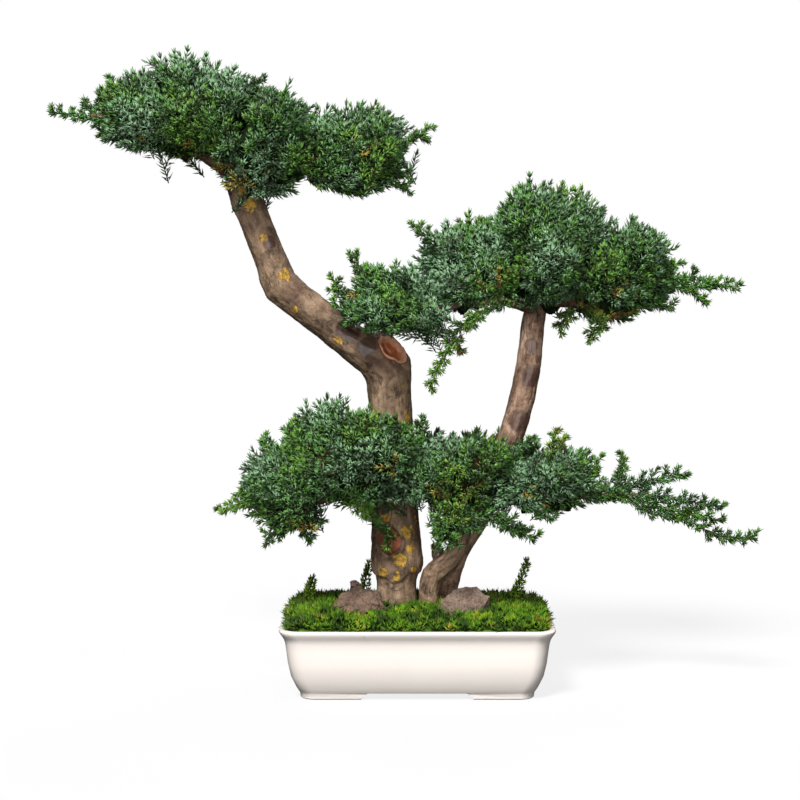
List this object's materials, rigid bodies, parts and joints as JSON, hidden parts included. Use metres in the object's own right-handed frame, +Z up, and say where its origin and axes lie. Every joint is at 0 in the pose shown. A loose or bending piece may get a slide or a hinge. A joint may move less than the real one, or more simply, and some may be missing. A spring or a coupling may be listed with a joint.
{
  "type": "potted juniper bonsai",
  "caption": "Juniper bonsai with two trunks and layered foliage pads, standing in a low rectangular footed pot with moss and rocks.",
  "frame": {"origin": "middle of the object's box in plan, at the level of the pot's feet", "axes": "+X to the right of the tree's front and along the pot's length, +Y towards the back, +Z up"},
  "size_m": [0.7058, 0.1888, 0.6029],
  "materials": {
    "cream_glaze": "satin cream glaze",
    "screen_plastic": "moulded plastic mesh",
    "earth": "dark crumbly soil",
    "moss": "bright green leafy moss",
    "lava_rock": "rough porous lava rock, purple brown",
    "sandstone": "dull beige stone",
    "bark": "grey-brown bark with ochre lichen and glossy red-brown patches",
    "limb_bark": "thin red-brown twig bark",
    "needles": "blue-green juniper needles with fresher yellow-green tips"
  },
  "bodies": {
    "root": {"crown_foliage_back": "needles", "crown_foliage_centre": "needles", "crown_foliage_left": "needles", "crown_foliage_right": "needles", "crown_foliage_shoulder": "needles", "crown_limb_back": "limb_bark", "crown_limb_left": "limb_bark", "crown_limb_right": "limb_bark", "crown_spray_left": "needles", "crown_spray_right": "needles", "drain_screen_left": "screen_plastic", "drain_screen_right": "screen_plastic", "front_stem": "bark", "lower_foliage_back": "needles", "lower_foliage_back_right": "needles", "lower_foliage_centre": "needles", "lower_foliage_far_right": "needles", "lower_foliage_left": "needles", "lower_foliage_right": "needles", "lower_front_tuft": "needles", "lower_limb_back": "limb_bark", "lower_limb_left": "limb_bark", "lower_limb_right": "limb_bark", "lower_spray_left": "needles", "lower_spray_long": "needles", "lower_spray_shoulder": "needles", "lower_spray_upright": "needles", "lower_tuft_right": "needles", "main_trunk": "bark", "middle_finger_lower": "needles", "middle_finger_upper": "needles", "middle_foliage_back": "needles", "middle_foliage_dome": "needles", "middle_foliage_left": "needles", "middle_foliage_right": "needles", "middle_limb_back": "limb_bark", "middle_limb_left": "limb_bark", "middle_limb_right": "limb_bark", "middle_spray_hanging": "needles", "middle_spray_right": "needles", "middle_spray_tip": "needles", "middle_tuft_below": "needles", "moss_left": "moss", "moss_middle": "moss", "moss_right": "moss", "moss_shoot_back": "moss", "moss_shoot_left": "moss", "moss_shoot_right": "moss", "pebble": "sandstone", "pot": "cream_glaze", "rear_stem": "bark", "rock_left": "lava_rock", "rock_right": "lava_rock", "soil": "earth"}
  },
  "joints": []
}
